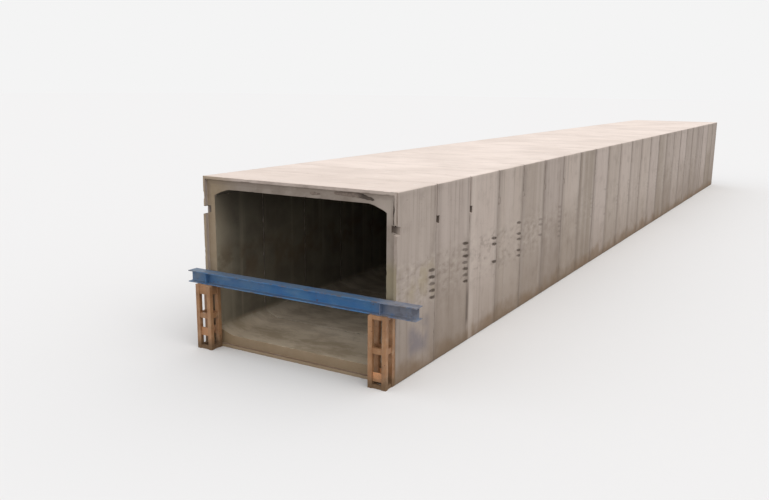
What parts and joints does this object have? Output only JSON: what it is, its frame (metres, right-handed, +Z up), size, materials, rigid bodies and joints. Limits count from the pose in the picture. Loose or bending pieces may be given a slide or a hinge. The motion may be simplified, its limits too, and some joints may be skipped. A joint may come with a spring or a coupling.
{
  "type": "precast box culvert",
  "caption": "Long straight run of rectangular precast concrete box culvert units with splayed inner corners, and a steel beam on trestles across the open mouth.",
  "frame": {"origin": "middle of the run's underside, half way between the side walls, in the plane that the culvert rests on", "axes": "+X across the culvert, +Y along it and away from the mouth with the beam, +Z up"},
  "size_m": [5.28, 36.378, 3.5],
  "materials": {
    "concrete": "cast concrete, dry, with vertical streaks, pale on the roof and brown with mud near the foot",
    "seal": "dark brown bitumen strip",
    "beam_paint": "worn blue paint with mud and scuffed edges",
    "trestle_paint": "faded orange primer with rust and mud"
  },
  "bodies": {
    "root": {"unit_01": "concrete", "unit_02": "concrete", "unit_03": "concrete", "unit_04": "concrete", "unit_05": "concrete", "unit_06": "concrete", "unit_07": "concrete", "unit_08": "concrete", "unit_09": "concrete", "unit_10": "concrete", "unit_11": "concrete", "unit_12": "concrete", "unit_13": "concrete", "unit_14": "concrete", "unit_15": "concrete", "unit_16": "concrete", "unit_17": "concrete", "unit_18": "concrete", "unit_19": "concrete", "unit_20": "concrete", "unit_21": "concrete", "unit_22": "concrete", "unit_23": "concrete", "unit_24": "concrete", "joint_seals": "seal", "mouth_seal_strip": "seal", "pulling_beam": "beam_paint", "trestle_left_front_frame": "trestle_paint", "trestle_left_rear_frame": "trestle_paint", "trestle_left_side_bars": "trestle_paint", "trestle_right_front_frame": "trestle_paint", "trestle_right_rear_frame": "trestle_paint", "trestle_right_side_bars": "trestle_paint"}
  },
  "joints": []
}
